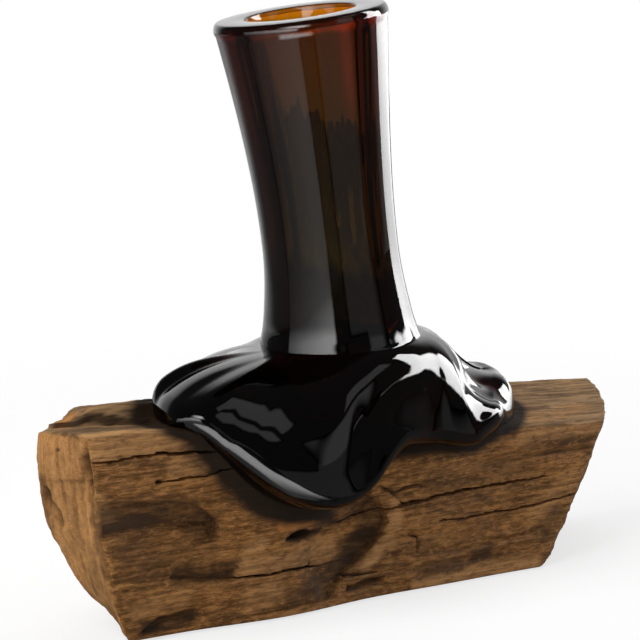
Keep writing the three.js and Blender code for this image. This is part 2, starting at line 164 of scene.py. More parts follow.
# %% The block's outline
BLOCK_DEPTH = 64
BASE_LENGTH = 206
BACK_INSET = 38
TOP_OVERHANG_LEFT = 17.7
TOP_OVERHANG_RIGHT = 43
TOP_BACK_INSET = 17
NOSE_OVERHANG = 26
NOSE_INSET = 12
NOSE_SETBACK = 27
RIGHT_SKEW = 44
RIGHT_BOW = 5
HEIGHTS = {"front left": 86.4, "front right": 61.7, "back left": 85, "back right": 68}
WORN_EDGE = 3.5
RIDGE_RISE = 5
RIDGE_FOOT = 30
RIDGE_CREST = 36
RIDGE_STARTS = (-9, 5)
RIDGE_FADES = (45, 130)
BELLY = 6.8
BELLY_AT = 72
BELLY_SPREAD = 46
BELLY_TOP = 0.42
FLARE = 6
FACE_WAVE = 0.9
FACE_WAVE_LENGTH = 74
TAPER_SOFTNESS = 0.6
BACK_FALL = 1.6
LEFT_LEAN = 0.62
NOSE_LEAN = 2.6
RIGHT_LEAN = 0.72
MEAN_HEIGHT = 74.05
# Hollows of the front: middle along and up, half length, half height and depth.
HOLLOWS = [(26, 43, 33, 8, 3.0), (108, 26, 22, 15, 2.2), (28, 9, 24, 6, 2.4)]

TOP_LEFT = -TOP_OVERHANG_LEFT
TOP_RIGHT = BASE_LENGTH + TOP_OVERHANG_RIGHT
SIZE = np.array([TOP_RIGHT + RIGHT_SKEW + NOSE_OVERHANG, BLOCK_DEPTH, MEAN_HEIGHT])
print("the block is bent from a box of", SIZE, "mm")


# %% Its top, ends and front
def top_height(x, y):
    along = np.clip((x - TOP_LEFT) / (TOP_RIGHT - TOP_LEFT), 0, 1)
    taper = blend(along, step(along, 0, 1), TAPER_SOFTNESS)
    front = blend(HEIGHTS["front left"], HEIGHTS["front right"], taper)
    far = np.clip((x - TOP_LEFT) / (TOP_RIGHT + RIGHT_SKEW - TOP_LEFT), 0, 1)
    back = blend(HEIGHTS["back left"], HEIGHTS["back right"], far ** BACK_FALL)
    fall = np.clip((BLOCK_DEPTH - y) / (BLOCK_DEPTH - RIDGE_CREST), 0, 1)
    ridge = RIDGE_RISE * step(y, RIDGE_FOOT, RIDGE_CREST) * fall
    ridge = ridge * window(x, *RIDGE_STARTS, *RIDGE_FADES)
    return blend(front, back, np.clip(y / BLOCK_DEPTH, 0, 1)) + ridge


def left_end(deep, high):
    corner = -TOP_OVERHANG_LEFT * high ** LEFT_LEAN
    nose = NOSE_INSET - (NOSE_INSET + NOSE_OVERHANG) * (1 - (1 - high) ** NOSE_LEAN)
    back = blend(BACK_INSET, TOP_BACK_INSET, high)
    nose_deep = NOSE_SETBACK / BLOCK_DEPTH
    before = blend(corner, nose, deep / nose_deep)
    behind = blend(nose, back, (deep - nose_deep) / (1 - nose_deep))
    return np.where(deep < nose_deep, before, behind)


def right_end(deep, high):
    slant = RIGHT_SKEW * deep + 4 * RIGHT_BOW * deep * (1 - deep)
    return BASE_LENGTH + TOP_OVERHANG_RIGHT * high ** RIGHT_LEAN + slant


def front_face(x, z, high):
    low = np.clip(1 - high / BELLY_TOP, 0, 1) ** 2
    belly = BELLY * np.exp(-(((x - BELLY_AT) / BELLY_SPREAD) ** 2))
    flare = FLARE * step(x, BELLY_AT, BASE_LENGTH)
    wave = FACE_WAVE * (1 - np.cos(2 * np.pi * x / FACE_WAVE_LENGTH)) / 2
    face = wave - low * (flare + belly)
    for at_x, at_z, half_long, half_high, depth in HOLLOWS:
        across = ((x - at_x) / half_long) ** 2 + ((z - at_z) / half_high) ** 2
        face = face + depth * np.exp(-across * across)
    return face


print("the top is", round(float(top_height(0, 0)), 1), "mm high at the front left")

# %% [markdown]
# ## A skin of cells
# The block's skin is one closed grid: cells are finer across the grain than along it,
# because weather cuts wood into long narrow furrows. The underside lies on the table and
# is one flat face.

# %% The skin's points and faces
CELLS = ((262, 72, 116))


def quads(numbers):
    """The four corners of every cell of a sheet of point numbers."""
    corners = [numbers[:-1, :-1], numbers[1:, :-1], numbers[1:, 1:], numbers[:-1, 1:]]
    return np.stack(corners, -1).reshape(-1, 4)


def unit(vectors):
    length = np.linalg.norm(vectors, axis=-1, keepdims=True)
    return vectors / np.maximum(length, 1e-9)


def skin(cells):
    shape = tuple(n + 1 for n in cells)
    index = np.indices(shape)
    outer = np.zeros(shape, bool)
    for axis, last in enumerate(cells):
        outer |= (index[axis] == 0) | (index[axis] == last)
    number = -np.ones(shape, int)
    number[outer] = np.arange(outer.sum())
    faces = []
    for axis, side in itertools.product(range(3), (0, 1)):
        if (axis, side) == (2, 0):
            continue
        sheet = quads(number.take(cells[axis] * side, axis=axis))
        turned = (side == 0) != (axis == 1)
        faces.append(sheet[:, ::-1] if turned else sheet)
    low = number[:, :, 0]
    rim = [*low[0, :-1], *low[:-1, -1], *low[-1, :0:-1], *low[:0:-1, 0]]
    return np.argwhere(outer), np.concatenate(faces), rim


lattice, skin_faces, underside = skin(CELLS)
print("block skin:", len(lattice), "points,", len(skin_faces), "cells")


# %% The skin bent to the block's outline
def spaced(count, length):
    """Stations along one side of the block, closer together on its worn edges."""
    edge = WORN_EDGE * np.array([0, 0.3, 0.65])
    middle = np.linspace(WORN_EDGE, length - WORN_EDGE, count - 5)
    return np.concatenate([edge, middle, length - edge[::-1]])


def bent(lattice, cells):
    """The skin's points, rounded at the edges and bent to the block's outline."""
    flat = np.stack([spaced(n, size)[lattice[:, k]] for k, (n, size) in
                     enumerate(zip(cells, SIZE))], 1)
    core = np.clip(flat, WORN_EDGE, SIZE - WORN_EDGE)
    out = unit(flat - core)
    along, deep, high = ((core + WORN_EDGE * out) / SIZE).T
    x = blend(left_end(deep, high), right_end(deep, high), along)
    top = top_height(x, deep * BLOCK_DEPTH)
    z = top * high
    back = BLOCK_DEPTH - FACE_WAVE * (1 + np.sin(2 * np.pi * x / FACE_WAVE_LENGTH))
    y = blend(front_face(x, z, high), back, deep)
    return np.stack([x, y, z], 1), out


block_points, block_out = bent(lattice, CELLS)
print("the bent skin spans", np.round(np.ptp(block_points, axis=0), 1), "mm")

# %% [markdown]
# ## The pool of glass on the wood
# The foot of the vase is a pool that ran out over the block and folded down over its front
# edge. Its outline is easiest to read on paper: unroll the wood's top and faces into one
# flat sheet, and mark how far the glass reaches in each direction from the neck.

# %% The wood unrolled
GLASS_FOLD = 9
EDGE_ARC = WORN_EDGE * np.pi / 2


def on_wood(x, across):
    """Points of the wood at x and across, where across runs on over the worn edges and down."""
    back = across > BLOCK_DEPTH / 2
    side = np.where(back, 1.0, -1.0)
    inward = np.where(back, BLOCK_DEPTH - across, across)
    past = WORN_EDGE - inward
    turn = np.clip(past / EDGE_ARC, 0, 1) * np.pi / 2
    fold = np.clip((GLASS_FOLD - inward) / (GLASS_FOLD + EDGE_ARC), 0, 1) * np.pi / 2
    from_face = np.where(past <= 0, inward, WORN_EDGE * (1 - np.sin(turn)))
    drop = WORN_EDGE * (1 - np.cos(turn)) + np.maximum(past - EDGE_ARC, 0)
    y = np.where(back, BLOCK_DEPTH - from_face, from_face)
    zero = np.zeros_like(y)
    point = np.stack([x, y, top_height(x, y) - drop], -1)
    out = np.stack([zero, side * np.sin(turn), np.cos(turn)], -1)
    soft_out = np.stack([zero, side * np.sin(fold), np.cos(fold)], -1)
    away = np.stack([zero, side * np.cos(fold), -np.sin(fold)], -1)
    return point, out, soft_out, away


print("unrolled, a worn edge is", round(EDGE_ARC, 1), "mm across")

# %% The pool's outline
NECK_AT = 123.3
# How far the glass reaches on the wood: direction in degrees and millimetres.
POOL_REACH = [
    (-180, 93), (-172, 98), (-165, 101), (-158.5, 94.5), (-151, 89.5), (-141.5, 86),
    (-132, 82), (-124, 77), (-116, 70), (-108, 61), (-98, 47.5), (-88, 41), (-73, 39.5), (-54, 46),
    (-41, 58), (-33, 64), (-21, 76), (-9, 87), (3, 93), (13, 88), (28, 70), (45, 57),
    (65, 52), (86, 56), (104, 62), (122, 57), (140, 59), (155, 70), (168, 84),
]


def pool(degrees):
    reach = around(POOL_REACH, degrees)
    angle = np.radians(degrees)
    return np.stack([reach * np.cos(angle), reach * np.sin(angle)], -1)


def beyond_pool(points):
    """How far each point of the wood lies outside the pool, measured along the wood."""
    x, y, z = points.T
    top = top_height(x, np.clip(y, 0, BLOCK_DEPTH))
    down = np.maximum(top - z, 0)
    front = y < BLOCK_DEPTH / 2
    edge = np.minimum(y, BLOCK_DEPTH - y)
    inward = np.where(down > WORN_EDGE, -down, edge - down)
    across = np.where(front, inward, BLOCK_DEPTH - inward)
    dx = x - NECK_AT
    dy = across - BLOCK_DEPTH / 2
    return np.hypot(dx, dy) - around(POOL_REACH, np.degrees(np.arctan2(dy, dx)))


distance_to_glass = beyond_pool(block_points)
print("wood under the glass:", int((distance_to_glass < 0).sum()), "points")

# %% [markdown]
# ## Weathering
# Rain and sun take the soft part of the grain away first. What is left is a face of long
# furrows, rotten pits with steep rims, drying cracks, and corners knocked blunt. Each of
# these moves the points of the skin along its own direction, so they are real geometry
# that casts shadows, and each also leaves a mark for the wood's colour to follow.

# %% Where each part of the skin faces
FACING = (0.55, 0.95)


def directions_out(out, points, faces):
    """Directions out of a mesh of quads at each point."""
    a, b, c, d = (points[faces[:, k]] for k in range(4))
    across = np.cross(c - a, d - b)
    total = np.zeros_like(points)
    for k in range(4):
        np.add.at(total, faces[:, k], across)
    return np.where(np.abs(total).max(1, keepdims=True) > 1e-9, unit(total), out)


facing = directions_out(block_out, block_points, skin_faces)
on_front = step(-block_out[:, 1], *FACING)
on_top = step(block_out[:, 2], *FACING)
on_end = step(np.abs(block_out[:, 0]), *FACING)
on_left = on_end * (block_out[:, 0] < 0)
on_base = step(-block_out[:, 2], 0.2, 0.6)
print("facing front:", int(on_front.sum()), "top:", int(on_top.sum()), "ends:", int(on_end.sum()))

# %% Where the layers have broken away
# Each ledge is a line through points, along and up, along and up, then its depth and reach.
# On its right, walking along it before the front face, the wood lies deeper and climbs
# back over the reach.
LEDGES = [
    ([-18, 59.6, -3.5, 58.9, 14.8, 56.7, 25.6, 54.7, 32.5, 52.2, 39.9, 46.7, 43.9, 42.3, 43.3, 39.9,
      40.3, 37.9, 33, 36], 3.8, 17),
    ([30, 46.6, 16.8, 45.6, 9.3, 45.5, 3.8, 45, -0.9, 44.2, -18, 44.4], 1.8, 7),
    ([51, 28, 51.3, 22.8, 50.1, 19.8, 46.5, 19, 41.5, 19.3, 32.8, 20.3, 25.3, 21.8, 16, 24.5], 3.6, 11),
    ([1, 2.5, 5.8, 5, 10.9, 7.2, 15.8, 8.6, 23.4, 9.5, 30.6, 9.3, 37, 8], 3, 7),
    ([110, 52, 119.2, 43.9, 126.3, 37.2, 127.2, 31.3, 124.9, 26.7, 120.4, 22.4, 114.4, 18.1, 104.1,
      13.5, 98.7, 7.2, 92.9, 4, 87, 1], 4, 34),
    ([103.9, 4.6, 104.2, 8.9, 109, 8.7, 119.5, 9, 126, 10], 3, 4.5),
    ([-14, 67, -9, 65, -3.5, 61.4, 4, 61, 14, 62], 1.4, 4),
    ([-10, 30, 4.7, 29.7, 18.9, 31.2, 30, 32.6], 1.1, 4),
    ([-6, 22.8, 9.3, 24.4, 21.5, 27, 33.4, 31], 1.3, 5),
    ([48, 28.6, 62, 28.6, 76, 26.6, 94, 27.4], 1.1, 5),
    ([24, 3.6, 45, 2.8, 58.9, 4.9, 78.3, 5.5, 98, 5.8], 0.9, 4),
    ([150, 17, 170, 15.5, 196, 17, 214, 19], 1, 5),
    ([204, 9, 186, 6.8, 157.4, 5, 136, 3.6], 1.4, 8),
    ([170, 54, 190, 52, 215, 53, 242, 52], 0.9, 6),
]
# Pits: middle along the block and up it, half length, half height and depth.
PITS = [(83, 32.6, 7.5, 2.2, 6), (14.9, 63.8, 1.3, 1.1, 4), (87.1, 20.2, 1.2, 1.1, 3),
        (103.8, 12.6, 2.2, 1.1, 3), (41, 24, 1.4, 4, 1.5), (174, 45, 3, 1.4, 1.2)]
# Cracks from the top down: points in the same way, opening and depth.
CRACKS = [
    ([-18, 75.6, -6.6, 75.1, 3.8, 75.7, 15.2, 75.5, 25.9, 74.2, 36.3, 73.5, 47, 73], 1.1, 6),
    ([14, 63.8, 26.8, 64.1, 36.7, 63.8, 46.3, 65, 58, 66.4], 0.7, 3.5),
    ([86, 33.2, 98, 34.2, 115.5, 35.8, 127.4, 37.4, 133.8, 38.4, 147, 38.8, 152.4, 39.8, 163.3, 40.1,
      189.9, 40.5, 215, 40.6], 1.5, 7),
    ([154, 28.8, 171.5, 27.9, 180, 28.3, 194.3, 28, 204.7, 28.4, 213.3, 29.1, 224.7, 29.9, 262, 31],
      1.1, 6),
    ([46, 19.9, 58.8, 19.1, 67.8, 18.7, 76.2, 19.2, 86.7, 18.7, 95.6, 18.2, 108, 18.1], 1.2, 5),
]
# Fine branches of the cracks, in any direction: points and depth.
BRANCHES = [
    ([122, 48.6, 127.6, 45.4, 132.3, 41.7, 135, 38.6], 2),
    ([129, 44, 135.3, 45.7, 142.4, 46.1, 148, 44.4], 2),
    ([136, 25, 142.5, 23.3, 141.8, 20.2, 141.5, 16], 2),
    ([101, 12.9, 110.4, 11.6, 121, 11.3], 3),
]
print(len(LEDGES), "ledges,", len(PITS), "pits and", len(CRACKS) + len(BRANCHES), "cracks")


# %% How far a point lies from a line
def beside(line, x, z):
    """Distance from a line of points, above 0 on its right, and share of the way along."""
    line = np.array(line, float).reshape(-1, 2)
    away = np.full_like(x, np.inf)
    side = np.ones_like(x)
    share = np.zeros_like(x)
    walked = 0
    for start, end in zip(line[:-1], line[1:]):
        run, climb = end - start
        length = math.hypot(run, climb)
        reached = ((x - start[0]) * run + (z - start[1]) * climb) / length ** 2
        along = np.clip(reached, 0, 1)
        gap = np.hypot(x - start[0] - along * run, z - start[1] - along * climb)
        right = np.where((x - start[0]) * climb > (z - start[1]) * run, 1, -1)
        closer = gap < away
        side = np.where(closer, right, side)
        share = np.where(closer, walked + along * length, share)
        away = np.minimum(away, gap)
        walked += length
    return away * side, share / walked


x, y, z = block_points.T
ragged_x = x + 1.6 * rough(block_points, (7, 9, 4), 3, 7)
ragged_z = z + 0.9 * rough(block_points, (12, 9, 3), 3, 8)
ragged_y = y + ragged_z - z
ragged_side = y + ragged_x - x
print("lines on the wood run ragged by up to", round(float(np.ptp(ragged_x - x) / 2), 1), "mm")

# %% Ledges, pits and branches on the front
SHADOW = 2.6
ledges = np.zeros_like(x)
# Besides the ledges, painted_shade darkens the wood's colour where shade falls: at the foot of each
# ledge's steep side, fading over SHADOW millimetres, in the pits and along the fine branch cracks.
painted_shade = np.zeros_like(x)
for line, depth, reach in LEDGES:
    gap, share = beside(line, ragged_x, ragged_z)
    held = window(share, 0, 0.15, 0.85, 1) * step(gap, -0.3, 1.1)
    ledges = np.maximum(ledges, depth * held * (1 - step(gap, 0.2 * reach, reach)))
    painted_shade = np.maximum(painted_shade, held * min(depth / 3.4, 1) * np.exp(-gap.clip(0) / SHADOW))
for at_x, at_z, half_long, half_high, depth in PITS:
    inside = 1.2 - np.hypot((ragged_x - at_x) / half_long, (ragged_z - at_z) / half_high)
    ledges = np.maximum(ledges, depth * step(inside, 0, 0.6))
    painted_shade = np.maximum(painted_shade, step(inside, -0.1, 0.35) * min(depth / 3, 1))
for line, depth in BRANCHES:
    gap, share = beside(line, x + 0.3 * (ragged_x - x), z)
    held = np.clip(1 - np.abs(gap) / 0.8, 0, 1) * np.sqrt(np.sin(np.pi * share))
    ledges = np.maximum(ledges, depth * held)
    painted_shade = np.maximum(painted_shade, held)
print("deepest ledge or pit:", round(float(ledges.max()), 1), "mm")

# %% Worn places of the left end and the top
# The left end, as places across the block and up it: a plate that still holds, a scar and
# the rotten corner beside the front.
plate = beside([(0, 90), (3, 78), (7, 68), (16, 66.5), (34, 67)], ragged_side, ragged_z)[0]
scar = np.abs(beside([(25, 62), (19, 48)], ragged_side, ragged_z)[0])
corner_rot = np.abs(beside([(2.5, 77), (1, 64)], ragged_side, ragged_z)[0])
knot = np.hypot(y - 16, z - 79)
end_ledges = (1.5 * window(plate, -0.4, 1, 2, 22) * (1 - step(y, 8, 22))
              + 1.5 * (1 - step(scar, 0.4, 2.6)) + 2.4 * (1 - step(corner_rot, 0.6, 3.4))) * on_left
# Painted shade on the left end, under the plate's broken edge, in the scar and in the rotten corner; a
# dark dot at the knot is on the same mark.
end_painted_shade = np.maximum.reduce([0.5 * step(plate, -0.4, 0.6) * np.exp(-plate.clip(0) / SHADOW),
                                0.6 * (1 - step(scar, 0.3, 2)),
                                0.8 * (1 - step(corner_rot, 0.6, 3)),
                                1 - step(knot, 0.5, 1.2)]) * on_left
# On the top the back layer still holds, in front of it the wood lies a little deeper.
layer = beside([(-14, 33), (2, 32), (16, 30), (30, 28), (60, 27)], ragged_x, ragged_y)[0]
held = 1 - step(x, 50, 62)
top_ledge = 1.8 * window(layer, -0.3, 0.9, 4, 22) * held
# Painted shade darkens the riser between the two layers of the top.
top_painted_shade = window(layer, -1.2, -0.3, 1, 3) * held * on_top
ledges = np.maximum(ledges * on_front, top_ledge * on_top)
painted_shade = np.maximum.reduce([painted_shade * on_front, end_painted_shade, top_painted_shade])
print("deepest wear of the left end:", round(float(end_ledges.max()), 1), "mm")

# %% Cracks
# The skin's rows crowd together at each crack, so that it comes out thin and sharp.
CROWDED = 2.4
centres = []
openings = []
depths = []
for run, opening, depth in CRACKS:
    at, height = np.array(run, float).reshape(-1, 2).T
    wander = 0.14 * np.sin(x * 0.43 + at[0]) + 0.1 * np.sin(x * 1.31 + at[-1])
    share = np.clip((x - at[0]) / (at[-1] - at[0]), 0, 1)
    swell = np.sin(np.pi * share) ** 0.4
    centres.append(np.interp(x, at, height) + wander)
    openings.append(opening * 0.27 * swell * (0.75 + 0.25 * np.sin(x * 0.23 + at[-1])))
    depths.append(depth * swell)
nearest = np.argmin([np.abs(z - centre) for centre in centres], 0)
centre, opening, depth = (np.choose(nearest, rows) for rows in (centres, openings, depths))
gap = z - centre
crowd = np.abs(gap / CROWDED).clip(0, 1) ** (on_front * (opening > 0.02))
block_points[:, 2] = centre + gap * crowd
cracks = depth * np.clip(1.2 - np.abs(gap * crowd) / (opening + 0.1), 0, 1) ** 0.6 * on_front
# Above 0 on one side of a crack and below 0 on the other, turned over at every second one.
crack_side = gap * crowd * np.where(nearest % 2, -1, 1)
crack_half = np.where(opening > 0.02, opening, -1.0) * on_front - (1 - on_front)
z = block_points[:, 2]
print("deepest crack:", round(float(cracks.max()), 1), "mm")

# %% Furrows and blunt corners
furrows = rough(block_points, (70, 6, 4.2), 4, 1)
fibres = rough(block_points, (18, 1.5, 1.3), 3, 2)
lumps = rough(block_points, (42, 24, 17), 3, 3)
crumble = rough(block_points, (7, 5, 5), 4, 4)
end_ribs = rough(block_points, (10, 3.2, 34), 4, 5)
rotten = step(rough(block_points, (48, 30, 15), 3, 6), 0.05, 0.45)

edge_gap = np.where(on_front + on_end > 0.2, np.minimum(top_height(x, y) - z, z), z)
worn = 1 - step(edge_gap, 1, 7)
# The number before each kind of wear is its height in millimetres.
height = 0.5 * furrows + 0.28 * fibres + 0.7 * lumps
height += 0.5 * crumble * (0.25 + 0.75 * rotten)
height = np.where(on_end > 0.5, 0.8 * lumps + 0.9 * end_ribs + 0.3 * crumble, height)
height -= 1.2 * worn * np.clip(0.4 + crumble, 0, 1)
height -= np.maximum(cracks, ledges) + end_ledges

clear_of_glass = step(distance_to_glass, 0, 4)
height = np.where(clear_of_glass < 1, np.minimum(height, 0.0) * (0.15 + 0.85 * clear_of_glass),
                  height)
height *= 1 - on_base
weathered = block_points + facing * height[:, None]
weathered[:, 2] = np.maximum(weathered[:, 2], 0)

# %% [markdown]
# ## Into the scene
# One helper turns points in millimetres into a Blender mesh in metres, keeps it inside
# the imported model's box and hangs it on the body that carries it. Marks that the finish
# follows, such as how scorched the wood is, are kept as attributes on the points.

# %% Making a piece
box_low, box_high = (np.array(v) / MM for v in cad_box)
HAIR = 0.02
SHARP_ANGLE = math.radians(50)


def into_scene(name, data):
    thing = bpy.data.objects.new(name, data)
    bpy.context.scene.collection.objects.link(thing)
    return thing


def new_mesh(name, points, faces, marks=()):
    mesh = bpy.data.meshes.new(name)
    mesh.from_pydata(points, [], faces)
    for mark, values in dict(marks).items():
        mesh.attributes.new(mark, "FLOAT", "POINT").data.foreach_set(
            "value", np.asarray(values, np.float32).ravel())
    return mesh


def make_piece(name, points, faces, body, node, marks):
    placed = np.clip(points + CORNER, box_low + HAIR, box_high - HAIR) * MM
    mesh = new_mesh(name, placed.tolist(), [list(map(int, face)) for face in faces], marks)
    mesh.shade_smooth()
    mesh.set_sharp_from_angle(angle=SHARP_ANGLE)
    piece = into_scene(name, mesh)
    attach(piece, body)
    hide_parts(node)
    low, high = placed.min(0) / MM, placed.max(0) / MM
    print(name, len(mesh.polygons), "faces,", np.round(high - low, 1), "mm")
    return piece


print("pieces are kept", HAIR, "mm inside the packed box")

# %% Stains, painted shade and pale places
# Strokes on the front, from one point along and up to another, half width and strength.
# The dark strokes on the front are partly stains and partly painted shade: inside the recesses, beside
# the rim of the long ledge, in a band under the glass, in a hole and in a slot.
STAINS_AND_SHADE = [
    (-14, 47.5, 20, 48.5, 3, 0.9), (-10, 52, 28, 49, 7, 0.6), (30, 46, 37, 42, 7, 0.5),
    (40.5, 44, 41.5, 42, 2, 0.8), (24, 24.5, 47, 23, 5, 0.75), (8, 5, 30, 7.2, 2.6, 0.8),
    (38, 4, 46, 5, 2, 0.45), (104, 41, 117, 38, 5, 0.8), (118, 37, 119, 30, 6, 0.9),
    (116, 27, 108, 20, 5, 0.85), (107, 19, 101, 14.5, 4, 0.6), (92, 36.5, 114, 38, 4, 0.8),
    (74, 8, 95, 8.5, 4, 0.5), (84, 12.5, 96, 13, 3, 0.5), (77, 32.6, 92, 33.6, 2.2, 1),
    (105, 7.2, 119, 7.6, 1.6, 0.9), (147, 9, 163, 9.5, 4, 0.55), (174, 10, 181, 11.5, 3, 0.75),
    (172, 35.5, 182, 35, 2.6, 0.5), (171, 25, 181, 25, 2.4, 0.4), (212, 17, 220, 24, 5, 0.45),
    (150, 45, 200, 49, 7, 0.3), (204, 56, 238, 54, 5, 0.4), (0, 37, 36, 34, 6, 0.4),
    (6, 30, 34, 30, 6, 0.25), (150, 34, 170, 33, 5, 0.3),
]
PALE = [
    (-15, 81, 42, 79.5, 5, 0.7), (131, 40, 131, 29, 3, 0.7), (128, 24, 114, 13, 3, 0.8),
    (54, 22.5, 100, 24, 5, 0.55), (55, 28, 61, 32, 3.4, 0.6), (140, 2.5, 205, 4, 3, 0.8),
    (200, 60, 244, 61, 4, 0.5), (208, 24, 228, 36, 6, 0.4), (-16, 62, -8, 52, 4, 0.6),
    (4, 13, 26, 15, 4, 0.4), (56, 10, 66, 12, 5, 0.4), (22, 70, 48, 69, 5, 0.4),
]
GLOWING = [(72, 38, 91, 38.6, 2, 1)]
# The same on the top, as places along the block and across it.
TOP_STAINS = [
    (-14, 17, 64, 18, 9, 0.75), (6, 44, 70, 46, 8, 0.55), (4, 36, 40, 37, 2, 0.5),
    (246, 37, 247, 37.5, 1, 1), (215, 22, 232, 23, 2, 0.5),
]
TOP_PALE = [
    (-18, 3, 58, 4, 3, 0.8), (206, 8, 250, 20, 6, 0.5), (16, 41, 20, 42, 1.6, 0.9),
    (50, 24, 62, 25, 1.2, 0.7),
]
TOP_GLOWING = [(-12, 33, -4, 40, 2.6, 0.6)]
# And on the left end, as places across it and up it.
END_STAINS = [
    (3, 60, 1.5, 30, 2, 0.5), (14, 60, 12, 20, 2.5, 0.3), (25, 66, 27, 40, 2.2, 0.35),
    (8, 40, 7, 6, 3, 0.35),
]
print(len(STAINS_AND_SHADE + TOP_STAINS + END_STAINS), "stains and", len(PALE + TOP_PALE), "pale places")


# %% Strokes laid on the points
def strokes(front, top=(), end=()):
    """How strongly the strokes on each side of the block cover each point."""
    share = np.zeros_like(x)
    for rows, u, v, here in ((front, ragged_x, ragged_z, on_front),
                             (top, ragged_x, ragged_y, on_top),
                             (end, ragged_side, ragged_z, on_left)):
        for *ends, half, strength in rows:
            away = np.abs(beside(ends, u, v)[0])
            covered = strength * (1 - step(away, 0.35 * half, 1.5 * half))
            share = np.maximum(share, covered * here)
    return share


stain_and_shade = strokes(STAINS_AND_SHADE, TOP_STAINS, END_STAINS)
pale = strokes(PALE, TOP_PALE)
glowing = strokes(GLOWING, TOP_GLOWING)
print("stained points:", int((stain_and_shade > 0.2).sum()), "pale points:", int((pale > 0.2).sum()))

# %% The block itself
charred = 8 + 4 * (1 - step(x, 95, 120))
scorch = np.exp(-(np.maximum(distance_to_glass, 0) / charred) ** 2)
block = make_piece(
    "weathered_block", weathered, [*skin_faces, underside], "block", "wooden_base",
    {"scorch": scorch, "painted_shade": painted_shade, "stain_and_shade": stain_and_shade, "pale": pale, "glowing": glowing,
     "crack_side": crack_side, "crack_half": crack_half, "top": on_top, "end": on_end,
     "left": on_left})

# %% [markdown]
# ## The neck
# The neck is a thick tube that was drawn up and flared a little, and it leans. Its middle
# line is one arc, and rings stand across that arc. The mouth was cut and then fire
# polished, so its top is flat with a soft bevel outside.

# %% The neck's rings
NECK_ROOT_RADIUS = 34.7
NECK_WAIST_RADIUS = 29.3
RIM_RADIUS = 37
FOOT_THICKNESS = 31
NECK_LENGTH = 139.5
RIM_SHIFT = 20.7
BEND_SHIFT = 8.5
RIM_TILT = math.radians(9)
ROOT_TILT = math.radians(3.5)
RIM_ARRIS_WIDTH = 2
RIM_ARRIS_HEIGHT = 4
BORE_RIM_RADIUS = 23.4
BORE_WAIST_RADIUS = 17
BORE_ROOT_RADIUS = 19.5
BORE_FLOOR = 15
BORE_FLOOR_ROUND = 13
BORE_ARRIS = 1
# Radii of the wall and of the bore: share of the way up the neck and millimetres.
NECK_RADII = [
    (0, NECK_ROOT_RADIUS), (0.08, blend(NECK_ROOT_RADIUS, NECK_WAIST_RADIUS, 0.5)),
    (0.24, NECK_WAIST_RADIUS), (0.42, NECK_WAIST_RADIUS),
    (0.6, blend(NECK_WAIST_RADIUS, RIM_RADIUS, 0.2)),
    (0.78, blend(NECK_WAIST_RADIUS, RIM_RADIUS, 0.52)), (1, RIM_RADIUS),
]
BORE_RADII = [
    (0, BORE_ROOT_RADIUS), (0.42, BORE_WAIST_RADIUS),
    (0.75, blend(BORE_WAIST_RADIUS, BORE_RIM_RADIUS, 0.5)), (1, BORE_RIM_RADIUS),
]
COLUMNS = 256
DEGREES = -180 + 360 * np.arange(COLUMNS) / COLUMNS
ANGLES = np.radians(DEGREES)
MIDDLE = BLOCK_DEPTH / 2
ROOT_HEIGHT = float(top_height(NECK_AT, MIDDLE)) + FOOT_THICKNESS
ROWS = {"bore floor": 13, "bore root": 4, "bore": 56, "inner edge": 6, "outer edge": 12, "wall": 84,
        "shoulder": 50, "lip": 18}
print("mouth:", 2 * RIM_RADIUS, "mm wide,", round(RIM_RADIUS - BORE_RIM_RADIUS, 1), "mm thick")


# %% Rings across a leaning line
def spokes(angles, tilt):
    """Directions out from the neck's middle line, in a plane that leans by tilt."""
    return np.stack([np.cos(angles) * math.cos(tilt), np.sin(angles),
                     np.cos(angles) * math.sin(tilt)], 1)


def neck_ring(share, radius, drop=0.0):
    share = min(max(share, 0), 1)
    bend = 2 * share * (1 - share) * BEND_SHIFT + share ** 2 * RIM_SHIFT
    centre = np.array([NECK_AT - bend, MIDDLE, ROOT_HEIGHT + share * NECK_LENGTH])
    tilt = blend(ROOT_TILT, RIM_TILT, share)
    down = np.array([math.sin(tilt), 0, -math.cos(tilt)])
    return centre + spokes(ANGLES, tilt) * np.asarray(radius).reshape(-1, 1) + down * drop


print("middle of the mouth:", np.round(neck_ring(1, 0)[0], 1), "mm")


# %% Rings of the bore, the rim and the wall
def bore_rings():
    floor = FOOT_THICKNESS - BORE_FLOOR
    rings = []
    for turn in np.linspace(0, 1, ROWS["bore floor"])[1:-1] * np.pi / 2:
        drop = floor - BORE_FLOOR_ROUND * (1 - math.cos(turn))
        rings.append(neck_ring(0, BORE_ROOT_RADIUS * math.sin(turn), drop))
    for drop in np.linspace(floor - BORE_FLOOR_ROUND, 0, ROWS["bore root"])[:-1]:
        rings.append(neck_ring(0, BORE_ROOT_RADIUS, max(drop, 0)))
    for share in np.linspace(0, 1, ROWS["bore"])[:-1]:
        ripple = 0.25 * np.sin(ANGLES * 9 + 2 * share) + 0.18 * np.sin(ANGLES * 17 - 3 * share)
        fade = window(share, 0, 0.2, 0.93, 1)
        rings.append(neck_ring(share, through(BORE_RADII, share) + ripple * fade))
    return rings


def rim_rings():
    rings = []
    for turn in np.linspace(0, 1, ROWS["inner edge"]) * np.pi / 2:
        radius = BORE_RIM_RADIUS + BORE_ARRIS * (1 - math.cos(turn))
        rings.append(neck_ring(1, radius, BORE_ARRIS * (1 - math.sin(turn))))
    for turn in np.linspace(0, 1, ROWS["outer edge"]) * np.pi / 2:
        radius = RIM_RADIUS - RIM_ARRIS_WIDTH * (1 - math.sin(turn))
        rings.append(neck_ring(1, radius, RIM_ARRIS_HEIGHT * (1 - math.cos(turn))))
    return rings


